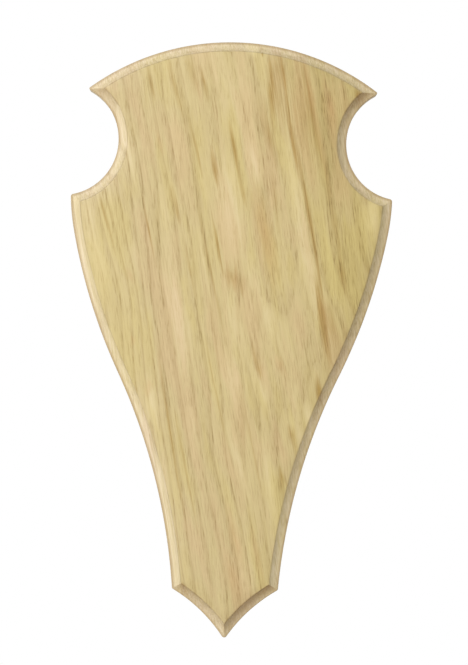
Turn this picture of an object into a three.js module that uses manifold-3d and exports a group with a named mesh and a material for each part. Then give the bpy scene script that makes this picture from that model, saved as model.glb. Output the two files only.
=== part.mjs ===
// Oak mounting shield: one solid board with a cove-moulded front edge, and on its back a strap
// hanger with a swinging D-ring, two wood screws and two rubber wall bumpers.
//
// Millimetres. +Z is up and the moulded front faces -Y. The origin is where the shield hangs: in the
// plane of the wall, on the centre line, at the top of the nail that carries the ring. Each piece is
// made with the board's flat back in the plane y = 0 and z = 0 halfway up it, and the group moves
// them all to that origin.

import * as THREE from 'three';
import { mergeVertices } from 'three/addons/utils/BufferGeometryUtils.js';
import Module from 'manifold-3d';

const wasm = await Module();
wasm.setup();

// ---- driving dimensions ----------------------------------------------------------------------

const HEIGHT = 220;
const THICKNESS = 15;

// The outline's arcs on the right-hand side, as [x, z] centres and radii, with z up from the tip.
// A bulging arc has its centre on the wood's side, a hollow one has it outside the wood.
const TOP_ARC = { centre: [0, 131], radius: 89, bulges: true };
const NOTCH_ARC = { centre: [62.85, 183.3], radius: 20.75, bulges: false };
const LOWER_FLANK_ARC = { centre: [244.1, 0.2], radius: 225.2, bulges: false };
const BOTTOM_ARC = { centre: [48.65, -32.3], radius: 57.9, bulges: false };
const UPPER_FLANK_RADIUS = 212;      // bulging, runs smoothly out of the lower flank
const UPPER_FLANK_START = 97.4;      // height where it takes over
const SHOULDER_RADIUS = 80;          // bulging, a tighter run up to the shoulder
const SHOULDER_START = 149.7;

const EAR_ROUNDING = 0.6;
const SHOULDER_ROUNDING = 1;
const FOOT_ROUNDING = 1;
const TIP_ROUNDING = 1.05;
const SHARPEST_ROUNDING = 0.15;      // inside the moulding the mitres are nearly sharp

// The moulding round the front: a cove that is steep at the face and shallow at the outer edge.
const COVE_RADIUS = 5.3;
const COVE_SHALLOW = THREE.MathUtils.degToRad(17);
const COVE_STEEP = THREE.MathUtils.degToRad(62);
const COVE_STEPS = 5;
const OUTER_EASING = 0.35;           // sanded arris between the cove and the side
const BACK_EASING = 0.5;             // sanded arris between the side and the back

// Hanger, measured from the middle of its loop.
const LOOP_HEIGHT = 88;              // above the middle of the board
const STRAP_WIDTH = 9;
const STRAP_THICKNESS = 0.7;
const STRAP_REACH = 20;              // down from the loop to the strap's round end
const LOOP_RADIUS = 1.55;            // centre line of the metal
const LEAF_GAP = 0.1;                // between the two leaves of the folded strap
const SEAT_GAP = 0.02;               // under pieces that lie flat on one another
const SCREW_DROPS = [5.2, 15.2];     // below the loop

const WIRE_RADIUS = 0.9;
const RING_HALF_WIDTH = 6.4;         // to the centre line of the wire
const RING_CORNER_RADIUS = 1.8;
const RING_LEG = 2;
const RING_JOINT_GAP = 0.3;          // the butted ends of the bent wire, inside the loop
const RING_LEAN = THREE.MathUtils.degToRad(4.5);

const HEAD_RADIUS = 2.8;
const HEAD_HEIGHT = 1.7;
const SHANK_RADIUS = 1.4;
const SHANK_LENGTH = 10;             // under the head, point included
const POINT_LENGTH = 3;
const SCREW_CLEARANCE = 0.3;
const RECESS_WIDTH = 0.7;
const RECESS_LENGTH = 3;
const RECESS_DEPTH = 1;

const BUMPER_RADIUS = 5;
const BUMPER_HEIGHT = 4;
const BUMPER_ROUNDING = 1.4;
const BUMPER_SPREAD = 14;            // from the centre line
const BUMPER_DROP = 52;              // below the middle of the board

// ---- materials -------------------------------------------------------------------------------

const oak = new THREE.MeshStandardMaterial({ color: '#d8c290', roughness: 0.55, metalness: 0 });
const brassPlate = new THREE.MeshStandardMaterial({ color: '#c9a24d', roughness: 0.3, metalness: 1 });
const screwPlate = new THREE.MeshStandardMaterial({ color: '#cdb060', roughness: 0.35, metalness: 1 });
const rubber = new THREE.MeshStandardMaterial({ color: '#3a2a20', roughness: 0.7, metalness: 0 });

// ---- solids ----------------------------------------------------------------------------------

function toSolid(geometry) {
  const bare = geometry.clone();
  bare.deleteAttribute('normal');
  bare.deleteAttribute('uv');
  const merged = mergeVertices(bare, 1e-5);
  const vertProperties = Float32Array.from(merged.attributes.position.array);
  const triVerts = Uint32Array.from(merged.index.array);
  return new wasm.Manifold(new wasm.Mesh({ numProp: 3, vertProperties, triVerts }));
}

function toGeometry(solid) {
  const mesh = solid.getMesh();
  const geometry = new THREE.BufferGeometry();
  geometry.setAttribute('position', new THREE.BufferAttribute(Float32Array.from(mesh.vertProperties), 3));
  geometry.setIndex(new THREE.BufferAttribute(Uint32Array.from(mesh.triVerts), 1));
  geometry.computeVertexNormals();
  return geometry;
}

function piece(name, geometry, material) {
  const mesh = new THREE.Mesh(geometry, material);
  mesh.name = name;
  return mesh;
}

// ---- outline ---------------------------------------------------------------------------------

function directionFrom(centre, point) {
  return Math.atan2(point[1] - centre[1], point[0] - centre[0]);
}

function pointOn(arc, angle) {
  return [arc.centre[0] + arc.radius * Math.cos(angle), arc.centre[1] + arc.radius * Math.sin(angle)];
}

// The upper flank leaves the lower flank in the same direction, so their centres lie on one line
// through the point where they meet. The shoulder arc follows the upper flank the same way.
function flankMeetPoint() {
  const [cx, cz] = LOWER_FLANK_ARC.centre;
  const rise = UPPER_FLANK_START - cz;
  return [cx - Math.sqrt(LOWER_FLANK_ARC.radius ** 2 - rise ** 2), UPPER_FLANK_START];
}

const flankMeet = flankMeetPoint();
const UPPER_FLANK_ARC = {
  centre: LOWER_FLANK_ARC.centre.map((c, i) => (
    flankMeet[i] + ((flankMeet[i] - c) * UPPER_FLANK_RADIUS) / LOWER_FLANK_ARC.radius)),
  radius: UPPER_FLANK_RADIUS,
  bulges: true,
};

const shoulderAngle = Math.asin((SHOULDER_START - UPPER_FLANK_ARC.centre[1]) / UPPER_FLANK_RADIUS);
const shoulderMeet = pointOn(UPPER_FLANK_ARC, shoulderAngle);
const SHOULDER_ARC = {
  centre: UPPER_FLANK_ARC.centre.map((c, i) => (
    shoulderMeet[i] - ((shoulderMeet[i] - c) * SHOULDER_RADIUS) / UPPER_FLANK_RADIUS)),
  radius: SHOULDER_RADIUS,
  bulges: true,
};

// An arc moved into the wood by inset: a bulging arc tightens and a hollow one opens.
function insetArc(arc, inset) {
  const radius = arc.bulges ? arc.radius - inset : arc.radius + inset;
  return { centre: arc.centre, radius, bulges: arc.bulges };
}

// The crossing of two arcs that lies nearest to a given point.
function crossing(a, b, near) {
  const dx = b.centre[0] - a.centre[0];
  const dz = b.centre[1] - a.centre[1];
  const apart = Math.hypot(dx, dz);
  const along = (a.radius ** 2 - b.radius ** 2 + apart ** 2) / (2 * apart);
  const across = Math.sqrt(Math.max(a.radius ** 2 - along ** 2, 0));
  const foot = [a.centre[0] + (along * dx) / apart, a.centre[1] + (along * dz) / apart];
  const sides = [1, -1].map((side) => [
    foot[0] - (side * across * dz) / apart,
    foot[1] + (side * across * dx) / apart,
  ]);
  const distance = (p) => Math.hypot(p[0] - near[0], p[1] - near[1]);
  return distance(sides[0]) < distance(sides[1]) ? sides[0] : sides[1];
}

// The nearest point of an arc's circle to a point beside it.
function footOn(arc, point) {
  return pointOn(arc, directionFrom(arc.centre, point));
}

function arcPoints(arc, from, to, steps) {
  const start = directionFrom(arc.centre, from);
  let sweep = directionFrom(arc.centre, to) - start;
  sweep -= 2 * Math.PI * Math.round(sweep / (2 * Math.PI));
  return Array.from({ length: steps }, (_, i) => pointOn(arc, start + (sweep * i) / steps));
}

// A corner between two arcs, rounded: the rounding's centre is where both arcs, moved in by its
// radius as well, cross.
function roundedCorner(before, after, inset, rounding, near) {
  const radius = Math.max(rounding - inset, SHARPEST_ROUNDING);
  const centre = crossing(insetArc(before, inset + radius), insetArc(after, inset + radius), near);
  const arc = { centre, radius, bulges: true };
  const enter = footOn(insetArc(before, inset), centre);
  const leave = footOn(insetArc(after, inset), centre);
  return { arc, enter, leave };
}

// The right half of the outline at an inset, from the middle of the top down to the tip.
function halfOutline(inset) {
  const top = insetArc(TOP_ARC, inset);
  const notch = insetArc(NOTCH_ARC, inset);
  const shoulder = insetArc(SHOULDER_ARC, inset);
  const upper = insetArc(UPPER_FLANK_ARC, inset);
  const lower = insetArc(LOWER_FLANK_ARC, inset);
  const bottom = insetArc(BOTTOM_ARC, inset);
  const mirroredBottom = { ...BOTTOM_ARC, centre: [-BOTTOM_ARC.centre[0], BOTTOM_ARC.centre[1]] };

  const ear = roundedCorner(TOP_ARC, NOTCH_ARC, inset, EAR_ROUNDING, [50, 200]);
  const peak = roundedCorner(NOTCH_ARC, SHOULDER_ARC, inset, SHOULDER_ROUNDING, [58, 162]);
  const foot = roundedCorner(LOWER_FLANK_ARC, BOTTOM_ARC, inset, FOOT_ROUNDING, [19, 18]);
  const tip = roundedCorner(BOTTOM_ARC, mirroredBottom, inset, TIP_ROUNDING, [0, 1]);

  const apex = pointOn(top, Math.PI / 2);
  const shoulderStart = footOn(shoulder, shoulderMeet);
  const upperStart = footOn(lower, flankMeet);
  const tipEnd = [0, tip.arc.centre[1] - tip.arc.radius];

  return [
    ...arcPoints(top, apex, ear.enter, 13),
    ...arcPoints(ear.arc, ear.enter, ear.leave, 2),
    ...arcPoints(notch, ear.leave, peak.enter, 12),
    ...arcPoints(peak.arc, peak.enter, peak.leave, 2),
    ...arcPoints(shoulder, peak.leave, shoulderStart, 3),
    ...arcPoints(upper, shoulderStart, upperStart, 8),
    ...arcPoints(lower, upperStart, foot.enter, 9),
    ...arcPoints(foot.arc, foot.enter, foot.leave, 2),
    ...arcPoints(bottom, foot.leave, tip.enter, 6),
    ...arcPoints(tip.arc, tip.enter, tipEnd, 2),
    tipEnd,
  ];
}

// The whole outline as [x, z] round the board, with z from its middle.
function outline(inset) {
  const right = halfOutline(inset);
  const left = right.slice(1, -1).reverse().map(([x, z]) => [-x, z]);
  return [...right, ...left].map(([x, z]) => [x, z - HEIGHT / 2]);
}

// ---- board -----------------------------------------------------------------------------------

// The edge's section from the back to the front face, as [inset, y].
function edgeSection() {
  const cove = [];
  const faceHeight = THICKNESS;
  for (let i = 0; i <= COVE_STEPS; i += 1) {
    const angle = COVE_SHALLOW + ((COVE_STEEP - COVE_SHALLOW) * i) / COVE_STEPS;
    const inset = COVE_RADIUS * (Math.sin(angle) - Math.sin(COVE_SHALLOW)) + OUTER_EASING;
    const height = faceHeight - COVE_RADIUS * (Math.cos(angle) - Math.cos(COVE_STEEP));
    cove.push([inset, -height]);
  }
  const coveStart = cove[0][1];
  return [
    [BACK_EASING, 0],
    [0, -BACK_EASING],
    [0, coveStart + OUTER_EASING],
    ...cove,
  ];
}

// Rings of the outline stacked along the edge's section, closed by the two flat faces.
function boardBlank() {
  const section = edgeSection();
  const rings = section.map(([inset, y]) => outline(inset).map(([x, z]) => [x, y, z]));
  const count = rings[0].length;
  const index = [];
  for (let k = 0; k + 1 < rings.length; k += 1) {
    for (let i = 0; i < count; i += 1) {
      const j = (i + 1) % count;
      const a = k * count + i;
      const b = k * count + j;
      const c = (k + 1) * count + j;
      const d = (k + 1) * count + i;
      index.push(a, c, b, a, d, c);
    }
  }
  const last = (rings.length - 1) * count;
  const cap = (ring) => THREE.ShapeUtils.triangulateShape(
    ring.map(([x, , z]) => new THREE.Vector2(x, z)), []);
  for (const [a, b, c] of cap(rings[0])) index.push(a, c, b);
  for (const [a, b, c] of cap(rings[rings.length - 1])) index.push(last + a, last + b, last + c);
  const geometry = new THREE.BufferGeometry();
  geometry.setAttribute('position', new THREE.Float32BufferAttribute(rings.flat(2), 3));
  geometry.setIndex(index);
  return geometry;
}

// A rod along Y with its blunt end at outerY and its other end at innerY.
function rodAlongY(radius, innerRadius, outerY, innerY, x, z, sides) {
  const rod = new THREE.CylinderGeometry(radius, innerRadius, outerY - innerY, sides);
  rod.translate(x, (outerY + innerY) / 2, z);
  return rod;
}

const headSeat = 2 * STRAP_THICKNESS + LEAF_GAP + 2 * SEAT_GAP;
const screwHeights = SCREW_DROPS.map((drop) => LOOP_HEIGHT - drop);

function pilotHole(z) {
  const radius = SHANK_RADIUS + SCREW_CLEARANCE;
  const depth = SHANK_LENGTH - headSeat + SCREW_CLEARANCE;
  const shoulder = depth - POINT_LENGTH;
  const bore = toSolid(rodAlongY(radius, radius, 1, -shoulder, 0, z, 20));
  const point = toSolid(rodAlongY(radius, SCREW_CLEARANCE, -shoulder + 0.01, -depth, 0, z, 20));
  return bore.add(point);
}

function board() {
  const holes = screwHeights.map(pilotHole);
  return toGeometry(holes.reduce((wood, hole) => wood.subtract(hole), toSolid(boardBlank())));
}

// ---- hanger ----------------------------------------------------------------------------------

const leafMid = SEAT_GAP + STRAP_THICKNESS / 2;
const loopY = leafMid + LOOP_RADIUS;
const outerLeafMid = leafMid + STRAP_THICKNESS + LEAF_GAP;
const backBendRadius = loopY - outerLeafMid;

// The strap's bent metal seen from the side: up the inner leaf, round the loop and, with a
// reverse bend under it, down the outer leaf. Each entry is [y, z, direction out of the metal].
function strapCentreLine() {
  const line = [[leafMid, -STRAP_REACH, Math.PI]];
  const loopSteps = 18;
  for (let i = 0; i <= loopSteps; i += 1) {
    const angle = Math.PI - (1.5 * Math.PI * i) / loopSteps;
    line.push([loopY + LOOP_RADIUS * Math.cos(angle), LOOP_RADIUS * Math.sin(angle), angle]);
  }
  const bendSteps = 4;
  for (let i = 1; i <= bendSteps; i += 1) {
    const angle = Math.PI / 2 + (0.5 * Math.PI * i) / bendSteps;
    const y = loopY + backBendRadius * Math.cos(angle);
    const z = -LOOP_RADIUS - backBendRadius + backBendRadius * Math.sin(angle);
    line.push([y, z, angle + Math.PI]);
  }
  line.push([outerLeafMid, -STRAP_REACH, 0]);
  return line;
}

function strap() {
  const line = strapCentreLine();
  const half = STRAP_THICKNESS / 2;
  const side = (sign) => line.map(([y, z, out]) => new THREE.Vector2(
    y + sign * half * Math.cos(out), z + sign * half * Math.sin(out)));
  const section = new THREE.Shape([...side(1), ...side(-1).reverse()]);
  const strip = new THREE.ExtrudeGeometry(section, { depth: STRAP_WIDTH, bevelEnabled: false });
  // The section is drawn in X and Y and extruded along Z: turn it to Y and Z, extruded along X.
  strip.applyMatrix4(new THREE.Matrix4().set(0, 0, 1, 0, 1, 0, 0, 0, 0, 1, 0, 0, 0, 0, 0, 1));
  strip.translate(-STRAP_WIDTH / 2, 0, LOOP_HEIGHT);

  const endRadius = STRAP_WIDTH / 2;
  const endHeight = LOOP_HEIGHT - STRAP_REACH + endRadius;
  const plan = new THREE.Shape();
  plan.moveTo(-endRadius - 1, LOOP_HEIGHT + 4);
  plan.lineTo(-endRadius - 1, endHeight);
  plan.lineTo(-endRadius, endHeight);
  plan.absarc(0, endHeight, endRadius, Math.PI, 2 * Math.PI, false);
  plan.lineTo(endRadius + 1, endHeight);
  plan.lineTo(endRadius + 1, LOOP_HEIGHT + 4);
  const cutter = new THREE.ExtrudeGeometry(plan, { depth: 10, bevelEnabled: false, curveSegments: 20 });
  cutter.rotateX(Math.PI / 2);
  cutter.translate(0, 6, 0);

  const holeRadius = SHANK_RADIUS + SCREW_CLEARANCE;
  const holes = screwHeights.map((z) => toSolid(rodAlongY(holeRadius, holeRadius, 3, -1, 0, z, 20)));
  const trimmed = toSolid(strip).intersect(toSolid(cutter));
  return toGeometry(holes.reduce((metal, hole) => metal.subtract(hole), trimmed));
}

// The D-ring's wire, drawn in its own plane with the bar along X: out along the bar, round a
// corner, up a leg, round the bow and back the same way.
class RingPath extends THREE.Curve {
  constructor() {
    super();
    const bar = RING_HALF_WIDTH - RING_CORNER_RADIUS;
    const legTop = RING_CORNER_RADIUS + RING_LEG;
    this.parts = [
      { from: [RING_JOINT_GAP / 2, 0], to: [bar, 0] },
      { centre: [bar, RING_CORNER_RADIUS], radius: RING_CORNER_RADIUS, start: -Math.PI / 2, sweep: Math.PI / 2 },
      { from: [RING_HALF_WIDTH, RING_CORNER_RADIUS], to: [RING_HALF_WIDTH, legTop] },
      { centre: [0, legTop], radius: RING_HALF_WIDTH, start: 0, sweep: Math.PI },
      { from: [-RING_HALF_WIDTH, legTop], to: [-RING_HALF_WIDTH, RING_CORNER_RADIUS] },
      { centre: [-bar, RING_CORNER_RADIUS], radius: RING_CORNER_RADIUS, start: Math.PI, sweep: Math.PI / 2 },
      { from: [-bar, 0], to: [-RING_JOINT_GAP / 2, 0] },
    ];
    this.lengths = this.parts.map((part) => (part.from
      ? Math.hypot(part.to[0] - part.from[0], part.to[1] - part.from[1])
      : part.radius * part.sweep));
    this.total = this.lengths.reduce((sum, length) => sum + length, 0);
  }

  getPoint(t, target = new THREE.Vector3()) {
    let distance = t * this.total;
    let index = 0;
    while (index < this.parts.length - 1 && distance > this.lengths[index]) {
      distance -= this.lengths[index];
      index += 1;
    }
    const part = this.parts[index];
    const share = distance / this.lengths[index];
    if (part.from) {
      const x = part.from[0] + (part.to[0] - part.from[0]) * share;
      const z = part.from[1] + (part.to[1] - part.from[1]) * share;
      return target.set(x, 0, z);
    }
    const angle = part.start + part.sweep * share;
    const [cx, cz] = part.centre;
    return target.set(cx + part.radius * Math.cos(angle), 0, cz + part.radius * Math.sin(angle));
  }
}

// The ring stands up from its bar and leans on the back of the board.
function ring() {
  const sides = 10;
  const section = new THREE.Shape(Array.from({ length: sides }, (_, i) => {
    const angle = (2 * Math.PI * i) / sides;
    return new THREE.Vector2(WIRE_RADIUS * Math.cos(angle), WIRE_RADIUS * Math.sin(angle));
  }));
  const wire = new THREE.ExtrudeGeometry(section, { steps: 52, extrudePath: new RingPath() });
  wire.rotateX(RING_LEAN);
  wire.translate(0, loopY, LOOP_HEIGHT);
  return wire;
}

// ---- screws and bumpers ----------------------------------------------------------------------

// A profile of [radius, distance out of the board], turned about an axis along +Y.
function turnedAboutY(profile, segments) {
  const points = profile.map(([radius, out]) => new THREE.Vector2(radius, out));
  return new THREE.LatheGeometry(points, segments);
}

function screw() {
  const underHead = headSeat;
  const point = underHead - SHANK_LENGTH;
  const crown = underHead + HEAD_HEIGHT;
  const body = toSolid(turnedAboutY([
    [0, point],
    [SHANK_RADIUS, point + POINT_LENGTH],
    [SHANK_RADIUS, underHead],
    [HEAD_RADIUS, underHead],
    [HEAD_RADIUS, underHead + 0.35 * HEAD_HEIGHT],
    [0.86 * HEAD_RADIUS, underHead + 0.75 * HEAD_HEIGHT],
    [0.5 * HEAD_RADIUS, crown],
    [0, crown],
  ], 24));
  const slot = new THREE.BoxGeometry(RECESS_LENGTH, RECESS_DEPTH + 1, RECESS_WIDTH);
  slot.translate(0, crown + (1 - RECESS_DEPTH) / 2, 0);
  const across = slot.clone();
  across.rotateY(Math.PI / 2);
  return toGeometry(body.subtract(toSolid(slot)).subtract(toSolid(across)));
}

function bumper() {
  const profile = [[0, SEAT_GAP], [BUMPER_RADIUS, SEAT_GAP]];
  const roundSteps = 5;
  const [inner, start] = [BUMPER_RADIUS - BUMPER_ROUNDING, BUMPER_HEIGHT - BUMPER_ROUNDING];
  for (let i = 0; i <= roundSteps; i += 1) {
    const angle = (Math.PI / 2) * (i / roundSteps);
    profile.push([inner + BUMPER_ROUNDING * Math.cos(angle), start + BUMPER_ROUNDING * Math.sin(angle)]);
  }
  profile.push([0, BUMPER_HEIGHT]);
  return turnedAboutY(profile, 28);
}

// ---- assembly --------------------------------------------------------------------------------

const ringInside = RING_CORNER_RADIUS + RING_LEG + RING_HALF_WIDTH - WIRE_RADIUS;
const hangHeight = LOOP_HEIGHT + ringInside;

const group = new THREE.Group();
group.position.set(0, -BUMPER_HEIGHT, -hangHeight);

group.add(piece('oak_board', board(), oak));
group.add(piece('hanger_strap', strap(), brassPlate));
group.add(piece('hanger_ring', ring(), brassPlate));

['hanger_screw_upper', 'hanger_screw_lower'].forEach((name, i) => {
  const mesh = piece(name, screw(), screwPlate);
  mesh.position.set(0, 0, screwHeights[i]);
  group.add(mesh);
});

[['wall_bumper_left', -1], ['wall_bumper_right', 1]].forEach(([name, side]) => {
  const mesh = piece(name, bumper(), rubber);
  mesh.position.set(side * BUMPER_SPREAD, 0, -BUMPER_DROP);
  group.add(mesh);
});

export default group;
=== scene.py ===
"""Oak mounting shield with a cove-moulded edge and, on its back, a D-ring hanger and wall bumpers.

The board is one flat-sawn piece of oak, sanded and clear finished. The shapes repeat the CAD
model's dimensions in millimetres, with the board's back at y = 0 and its middle at z = 0, and
place() sets them in the frame. The wood's figure is a solid pattern in those millimetres.
"""

import math
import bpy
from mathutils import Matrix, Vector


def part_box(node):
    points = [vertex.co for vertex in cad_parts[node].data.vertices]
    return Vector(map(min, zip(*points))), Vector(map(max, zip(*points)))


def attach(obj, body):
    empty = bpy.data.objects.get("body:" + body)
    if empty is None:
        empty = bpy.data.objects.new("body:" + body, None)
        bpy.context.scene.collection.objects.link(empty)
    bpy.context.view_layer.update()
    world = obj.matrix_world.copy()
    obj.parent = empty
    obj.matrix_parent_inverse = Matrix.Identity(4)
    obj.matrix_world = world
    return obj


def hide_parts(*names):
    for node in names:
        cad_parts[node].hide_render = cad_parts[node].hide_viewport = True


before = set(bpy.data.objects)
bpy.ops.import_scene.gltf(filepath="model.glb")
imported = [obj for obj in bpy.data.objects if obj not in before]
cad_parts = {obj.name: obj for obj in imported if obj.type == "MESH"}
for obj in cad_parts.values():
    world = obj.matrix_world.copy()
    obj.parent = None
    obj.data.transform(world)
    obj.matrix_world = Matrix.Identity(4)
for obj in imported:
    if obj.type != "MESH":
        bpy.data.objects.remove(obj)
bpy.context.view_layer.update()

from types import SimpleNamespace

import bmesh
import bpy
from mathutils import Matrix, Vector, noise
from mathutils.geometry import delaunay_2d_cdt

scene = bpy.context.scene

MM = 0.001
SHARP_ANGLE = math.radians(30)

# ---- the board's outline and edge, as in the CAD model ----

HEIGHT = 220
THICKNESS = 15

# Arcs on the right-hand side: centre (x, z above the tip), radius, and whether the wood bulges.
TOP = ((0, 131), 89, True)
NOTCH = ((62.85, 183.3), 20.75, False)
LOWER_FLANK = ((244.1, 0.2), 225.2, False)
BOTTOM = ((48.65, -32.3), 57.9, False)
UPPER_FLANK_RADIUS = 212
UPPER_FLANK_START = 97.4    # above the tip
SHOULDER_RADIUS = 80
SHOULDER_START = 149.7      # above the tip

EAR_ROUNDING = 0.6
SHOULDER_ROUNDING = 1
FOOT_ROUNDING = 1
TIP_ROUNDING = 1.05
SHARPEST_ROUNDING = 0.15

COVE_RADIUS = 5.3
COVE_SHALLOW = math.radians(17)
COVE_STEEP = math.radians(62)
OUTER_EASING = 0.35
BACK_EASING = 0.5
FACE_EASING = 0.45
COVE_START = COVE_RADIUS * (math.cos(COVE_SHALLOW) - math.cos(COVE_STEEP)) - THICKNESS

# The marks of hand sanding and the triangles of the flat faces, which the CAD model doesn't have.
HAND_SANDING = 0.05         # how far the moulding wanders from true
WANDER_LENGTH = 9
SANDED_BEHIND = 1           # the sanding starts this far behind the outer arris
SANDED_WITHIN = 1.5         # and reaches full strength within this
HALF_WIDTH = 60             # a little more than half the board's width
FILL_SPACING = 6            # between the points of the triangles
FILL_MARGIN = 2.5           # between those points and the outline

# ---- the hardware ----

LOOP_HEIGHT = 88            # the middle of the hanger's loop, above the board's middle
STRAP_WIDTH = 9
STRAP_THICKNESS = 0.7
STRAP_REACH = 20            # from the loop's middle down to the strap's end
LOOP_RADIUS = 1.55
LEAF_GAP = 0.1
SEAT_GAP = 0.02
SHEARED_EDGE = 0.12
SCREW_DROPS = (5.2, 15.2)   # below the loop's middle

WIRE_RADIUS = 0.9
RING_HALF_WIDTH = 6.4
RING_CORNER_RADIUS = 1.8
RING_LEG = 2
RING_JOINT_GAP = 0.3
RING_LEAN = math.radians(4.5)

HEAD_RADIUS = 2.8
HEAD_HEIGHT = 1.7
SHANK_RADIUS = 1.4
ROOT_RADIUS = 1.0
SHANK_LENGTH = 10
POINT_LENGTH = 3
SCREW_CLEARANCE = 0.3
THREAD_PITCH = 1.3
PLAIN_SHANK = 2.6           # without thread, under the head
RECESS_TURNS = (math.radians(20), math.radians(110))
HEAD_RIM_EASING = 0.12
HEAD_RIM_SHARE = 0.3        # of the head's height, which is the rim below the dome
DOME_FULLNESS = 0.75        # 1 is an ellipse and less is fuller
WAIST = 0.2                 # how much thinner the shank is rolled just under the head
WAIST_LENGTH = 2
STRUCK_EDGE = 0.05
RECESS_FLOOR = (-1.15, 0.55, 0.2)    # height from the crown, half length and half width
RECESS_MOUTH = (0.3, 1.75, 0.4)

BUMPER_RADIUS = 5
BUMPER_HEIGHT = 4
BUMPER_SPREAD = 14          # from the board's centre line
BUMPER_DROP = 52            # below the board's middle
BUMPER_CROWN = 1.4          # the rounding of the edge that meets the wall
BUMPER_FOOT = (0.15, 0.2)   # how far the edge on the board is drawn in, and over what height
BUMPER_TAPER = 0.05

# ---- places in the frame ----

_, board_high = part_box("oak_board")
BACK_Y = board_high.y
MIDDLE_Z = board_high.z - HEIGHT / 2 * MM


def place(x, y, z):
    """A point given in the board's millimetres, in the frame's metres."""
    return Vector((x * MM, BACK_Y + y * MM, MIDDLE_Z + z * MM))


# ---- small tools ----


def linear(hex_colour):
    """An sRGB hex colour as linear RGBA."""
    parts = [int(hex_colour[i:i + 2], 16) / 255 for i in (1, 3, 5)]
    return [p / 12.92 if p <= 0.04045 else ((p + 0.055) / 1.055) ** 2.4 for p in parts] + [1.0]


def add(tree, kind, inputs=None, **settings):
    """Adds a node with its settings. An input's value is a constant, a socket, or a node, which
    means that node's first output."""
    node = tree.nodes.new(kind)
    for name, value in settings.items():
        setattr(node, name, value)
    named = inputs if isinstance(inputs, dict) else dict(enumerate(inputs or ()))
    for key, value in named.items():
        if isinstance(value, bpy.types.Node):
            value = next(s for s in value.outputs if s.enabled)
        if isinstance(value, bpy.types.NodeSocket):
            tree.links.new(value, node.inputs[key])
        else:
            node.inputs[key].default_value = value
    return node


def stretched_noise(tree, where, scale, detail=2.0, roughness=0.5, offset=(0, 0, 0)):
    """A pattern of soft noise, with its own number of cycles per unit along each axis."""
    space = add(
        tree, "ShaderNodeMapping", {"Vector": where, "Location": offset, "Scale": scale})
    return add(
        tree, "ShaderNodeTexNoise",
        {"Vector": space, "Scale": 1.0, "Detail": detail, "Roughness": roughness})


def with_stops(ramp, stops):
    """Sets a colour ramp's (position, value) stops, where a value is a grey or a hex colour."""
    elements = ramp.color_ramp.elements
    while len(elements) < len(stops):
        elements.new(0.5)
    for element, (position, value) in zip(elements, stops):
        element.position = position
        element.color = linear(value) if isinstance(value, str) else (value, value, value, 1)
    return ramp


def new_material(name):
    """An empty material and its node tree."""
    material = bpy.data.materials.new(name)
    material.use_nodes = True
    tree = material.node_tree
    tree.nodes.clear()
    return material, tree


def new_object(name, mesh):
    piece = bpy.data.objects.new(name, mesh)
    scene.collection.objects.link(piece)
    return piece


def next_pairs(loop):
    """Each item of a closed loop with the one after it."""
    return zip(loop, loop[1:] + loop[:1])


def shaded(mesh):
    """Smooth shading that breaks at sharp edges."""
    mesh.shade_smooth()
    mesh.set_sharp_from_angle(angle=SHARP_ANGLE)
    return mesh


def from_bmesh(name, bm):
    mesh = bpy.data.meshes.new(name)
    bm.to_mesh(mesh)
    bm.free()
    return new_object(name, shaded(mesh))


def made_solid(piece):
    """Replaces a piece's mesh and modifiers by the plain mesh that they give."""
    graph = bpy.context.evaluated_depsgraph_get()
    mesh = bpy.data.meshes.new_from_object(piece.evaluated_get(graph), depsgraph=graph)
    piece.modifiers.clear()
    piece.data = shaded(mesh)
    return piece


def eased(piece, width, sharper_than):
    """Rounds every edge of a piece that is sharper than an angle in degrees."""
    bevel = piece.modifiers.new("eased edges", "BEVEL")
    bevel.width = width * MM
    bevel.segments = 2
    bevel.limit_method = "ANGLE"
    bevel.angle_limit = math.radians(sharper_than)
    return made_solid(piece)


def cut(piece, tool, operation="DIFFERENCE"):
    """Cuts a piece by a tool with a boolean, and throws the tool away."""
    modifier = piece.modifiers.new("cut", "BOOLEAN")
    modifier.operation = operation
    modifier.solver = "EXACT"
    modifier.object = tool
    made_solid(piece)
    bpy.data.objects.remove(tool)
    return piece


def finished(piece, body, slot, *nodes):
    """Parents a piece to its body's empty and hides the CAD parts that it stands for. The slot is
    not used.
    """
    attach(piece, body)
    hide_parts(*nodes)
    return piece


# ---- outline ----


def direction(centre, point):
    return math.atan2(point[1] - centre[1], point[0] - centre[0])


def point_on(arc, angle):
    (cx, cz), radius, _ = arc
    return cx + radius * math.cos(angle), cz + radius * math.sin(angle)


def moved_in(arc, inset):
    """An arc moved into the wood: a bulging one tightens and a hollow one opens."""
    centre, radius, bulges = arc
    return centre, radius - inset if bulges else radius + inset, bulges


def foot_on(arc, point):
    """The point of an arc's circle in the direction of another point."""
    return point_on(arc, direction(arc[0], point))


def along_line(start, end, share):
    return tuple(a + (b - a) * share for a, b in zip(start, end))


def flank_arcs():
    """The upper flank runs smoothly out of the lower one, and the shoulder out of the upper."""
    (cx, cz), reach, _ = LOWER_FLANK
    rise = UPPER_FLANK_START - cz
    meet = (cx - math.sqrt(reach ** 2 - rise ** 2), UPPER_FLANK_START)
    upper = (along_line((cx, cz), meet, 1 + UPPER_FLANK_RADIUS / reach), UPPER_FLANK_RADIUS, True)
    angle = math.asin((SHOULDER_START - upper[0][1]) / UPPER_FLANK_RADIUS)
    turn = point_on(upper, angle)
    centre = along_line(turn, upper[0], SHOULDER_RADIUS / UPPER_FLANK_RADIUS)
    return upper, (centre, SHOULDER_RADIUS, True), turn


UPPER_FLANK, SHOULDER, SHOULDER_TURN = flank_arcs()


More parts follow.
